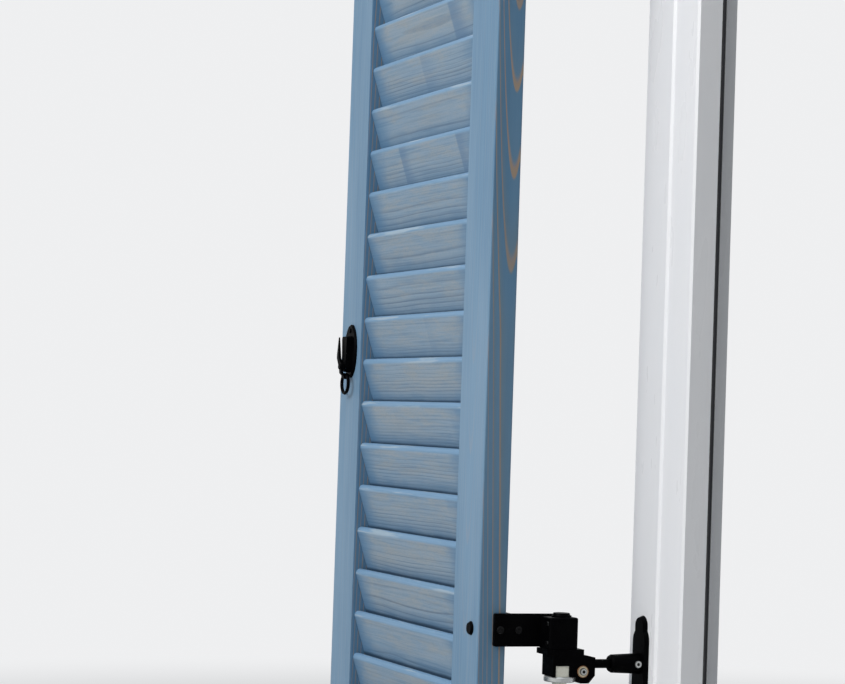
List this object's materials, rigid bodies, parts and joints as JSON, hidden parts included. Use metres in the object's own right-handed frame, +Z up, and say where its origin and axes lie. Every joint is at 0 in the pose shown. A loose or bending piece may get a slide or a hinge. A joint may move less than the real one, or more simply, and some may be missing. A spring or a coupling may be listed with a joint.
{
  "type": "louvred window shutters",
  "caption": "Pair of louvred wooden window shutters folded open on offset hinges, with the white window frame that carries them, a hook latch and its keeper.",
  "frame": {"origin": "middle of the back face of the frame's bottom member, the plane that goes against the wall", "axes": "+X along the wall, to the right as seen from outside; +Y into the wall; +Z up"},
  "size_m": [1.926, 0.29, 1.23],
  "materials": {
    "stained_wood": "blue stained, satin",
    "slat_wood": "blue stained, matt",
    "black_metal": "matt black coating",
    "window_white": "smooth white",
    "zinc": "zinc plated",
    "nylon": "natural white"
  },
  "bodies": {
    "frame": {"frame_bottom": "window_white", "frame_head": "window_white", "left_adjusting_block": "black_metal", "left_arm_screws": "zinc", "left_foot": "nylon", "left_guide": "nylon", "left_height_nut": "zinc", "left_jamb": "window_white", "left_lower_pin": "black_metal", "left_lower_plate": "black_metal", "left_lower_rod": "black_metal", "left_upper_pin": "black_metal", "left_upper_plate": "black_metal", "right_adjusting_block": "black_metal", "right_arm_screws": "zinc", "right_foot": "nylon", "right_guide": "nylon", "right_height_nut": "zinc", "right_jamb": "window_white", "right_lower_pin": "black_metal", "right_lower_plate": "black_metal", "right_lower_rod": "black_metal", "right_upper_pin": "black_metal", "right_upper_plate": "black_metal"},
    "left_leaf": {"left_bottom_rail": "stained_wood", "left_free_stile": "stained_wood", "left_hinge_bolts": "black_metal", "left_hinge_stile": "stained_wood", "left_knuckle_caps": "black_metal", "left_knuckle_screws": "black_metal", "left_lower_strap": "black_metal", "left_slats": "slat_wood", "left_stop": "black_metal", "left_top_rail": "stained_wood", "left_upper_strap": "black_metal", "hook_plate": "black_metal", "hook_pin": "black_metal", "hook_screw": "black_metal"},
    "right_leaf": {"right_bottom_rail": "stained_wood", "right_free_stile": "stained_wood", "right_hinge_bolts": "black_metal", "right_hinge_stile": "stained_wood", "right_knuckle_caps": "black_metal", "right_knuckle_screws": "black_metal", "right_lower_strap": "black_metal", "right_slats": "slat_wood", "right_stop": "black_metal", "right_top_rail": "stained_wood", "right_upper_strap": "black_metal", "keeper_plate": "black_metal", "keeper_arm": "black_metal", "keeper_screws": "black_metal"},
    "hook": {"hook_lever": "black_metal"},
    "ring": {"hook_ring": "black_metal"}
  },
  "joints": [
    {"name": "left_leaf_swing", "type": "hinge", "parent": "frame", "child": "left_leaf", "pos_m": [-0.475, -0.156, 0.2005], "axis": [0, 0, 1], "range_deg": [0, 180]},
    {"name": "right_leaf_swing", "type": "hinge", "parent": "frame", "child": "right_leaf", "pos_m": [0.475, -0.156, 0.2005], "axis": [0, 0, -1], "range_deg": [0, 180]},
    {"name": "hook_turn", "type": "hinge", "parent": "left_leaf", "child": "hook", "pos_m": [-0.91, -0.2565, 0.4775], "axis": [0, -1, 0], "range_deg": [0, 90]},
    {"name": "ring_swing", "type": "hinge", "parent": "hook", "child": "ring", "pos_m": [-0.91, -0.2512, 0.4663], "axis": [-1, 0, 0], "range_deg": [-8, 95]}
  ]
}
